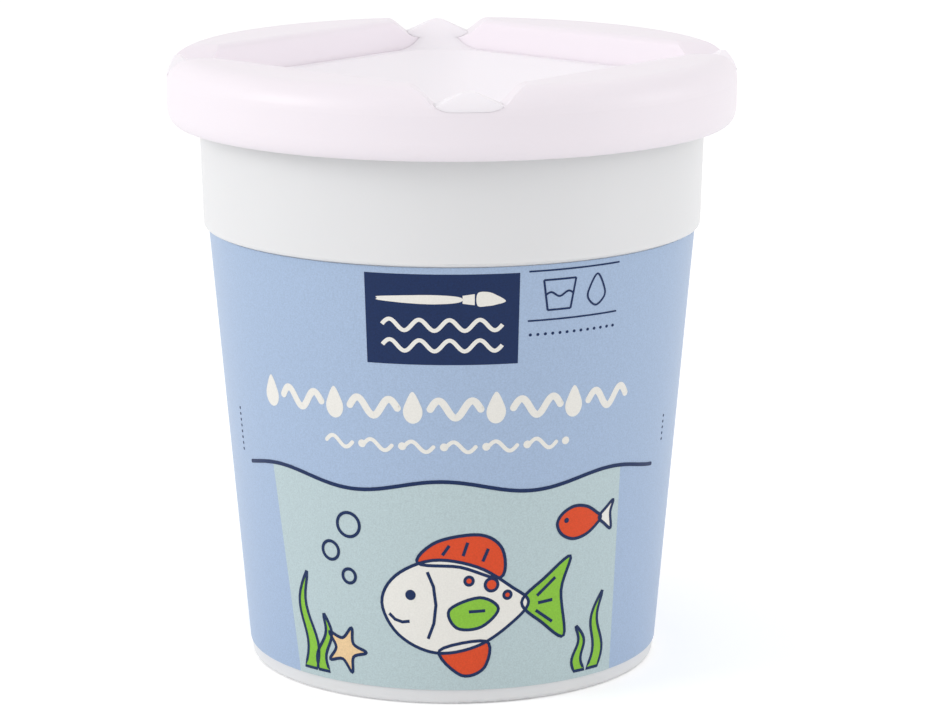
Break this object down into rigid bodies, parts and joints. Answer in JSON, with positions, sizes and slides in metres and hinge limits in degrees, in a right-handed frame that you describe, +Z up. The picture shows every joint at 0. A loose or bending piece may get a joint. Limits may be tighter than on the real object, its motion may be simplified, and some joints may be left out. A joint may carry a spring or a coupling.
{
  "type": "non-spill brush washer pot",
  "caption": "Tapered brush washing pot with a printed wrap, a lid with raised brush rests and a lift-out funnel that holds the water back when it tips.",
  "frame": {"origin": "centre of the pot's foot, on the surface it stands on", "axes": "+Z up along the pot's axis, -Y towards the printed front"},
  "size_m": [0.09, 0.09, 0.0978],
  "materials": {
    "pot_plastic": "milky white moulded polypropylene, satin",
    "wrap_film": "printed film, light blue, semi-gloss",
    "lid_plastic": "white moulded polypropylene, satin",
    "funnel_plastic": "thin translucent white polypropylene, satin"
  },
  "bodies": {
    "pot": {"pot": "pot_plastic", "wrap_label": "wrap_film"},
    "lid": {"lid_ring": "lid_plastic"},
    "funnel": {"funnel_insert": "funnel_plastic"}
  },
  "joints": [
    {"name": "lid_lift", "type": "slide", "parent": "pot", "child": "lid", "axis": [0, 0, 1], "range_m": [0, 0.06]},
    {"name": "funnel_lift", "type": "slide", "parent": "lid", "child": "funnel", "axis": [0, 0, 1], "range_m": [0, 0.055]}
  ]
}
